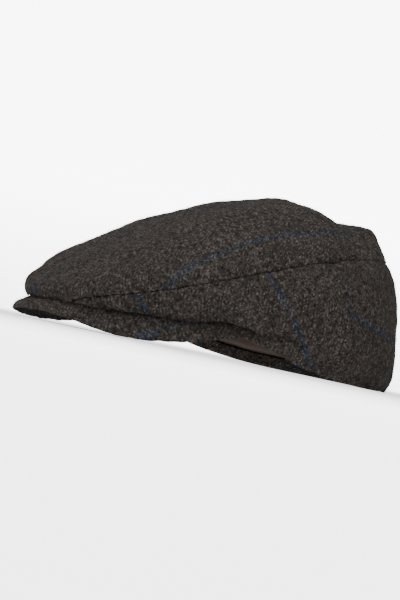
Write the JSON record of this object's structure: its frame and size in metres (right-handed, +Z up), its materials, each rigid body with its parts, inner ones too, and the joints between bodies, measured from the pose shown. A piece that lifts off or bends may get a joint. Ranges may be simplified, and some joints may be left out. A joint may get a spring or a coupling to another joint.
{
  "type": "flat cap",
  "caption": "Flat cap of checked tweed: a soft rounded crown pulled forward over a short stiff peak, with a turned hem and a smooth lining round an open head hollow.",
  "frame": {"origin": "on the surface that the cap rests on, under the middle of its length and width", "axes": "+Z up, -Y towards the peak, +X towards the wearer's left"},
  "size_m": [0.185, 0.26, 0.1102],
  "materials": {
    "tweed": "matte marled wool tweed, charcoal brown with a fine blue windowpane check",
    "lining": "smooth dark brown lining with a low sheen"
  },
  "bodies": {
    "root": {"crown_top_panel": "tweed", "crown_side_left": "tweed", "crown_side_right": "tweed", "peak_upper": "tweed", "peak_under": "tweed", "rim_hem": "tweed", "lining": "lining"}
  },
  "joints": []
}
